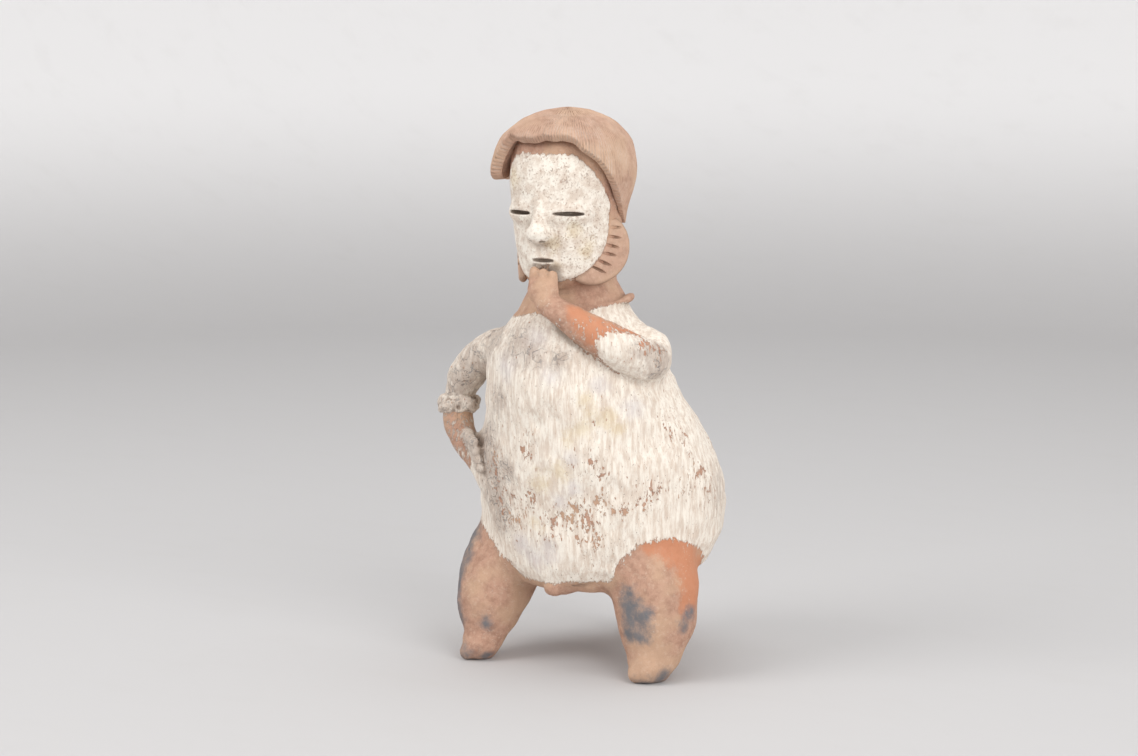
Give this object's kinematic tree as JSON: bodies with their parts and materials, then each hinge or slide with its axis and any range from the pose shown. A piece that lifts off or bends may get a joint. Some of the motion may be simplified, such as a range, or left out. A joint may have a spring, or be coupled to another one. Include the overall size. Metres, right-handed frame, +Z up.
{
  "type": "pottery tomb figure",
  "caption": "Hollow pottery tomb figure of a stout standing man, one hand at his chin and the other on his hip, with combed hair, notched ear ornaments and worn white slip.",
  "frame": {"origin": "middle of the figure's box, at the height of its soles", "axes": "+Z up, the figure faces -Y, and its left side is at +X"},
  "size_m": [0.2315, 0.1913, 0.4345],
  "materials": {
    "slipped_pottery": "matte, worn cream slip over pinkish tan clay"
  },
  "bodies": {
    "root": {"figure": "slipped_pottery"}
  },
  "joints": []
}
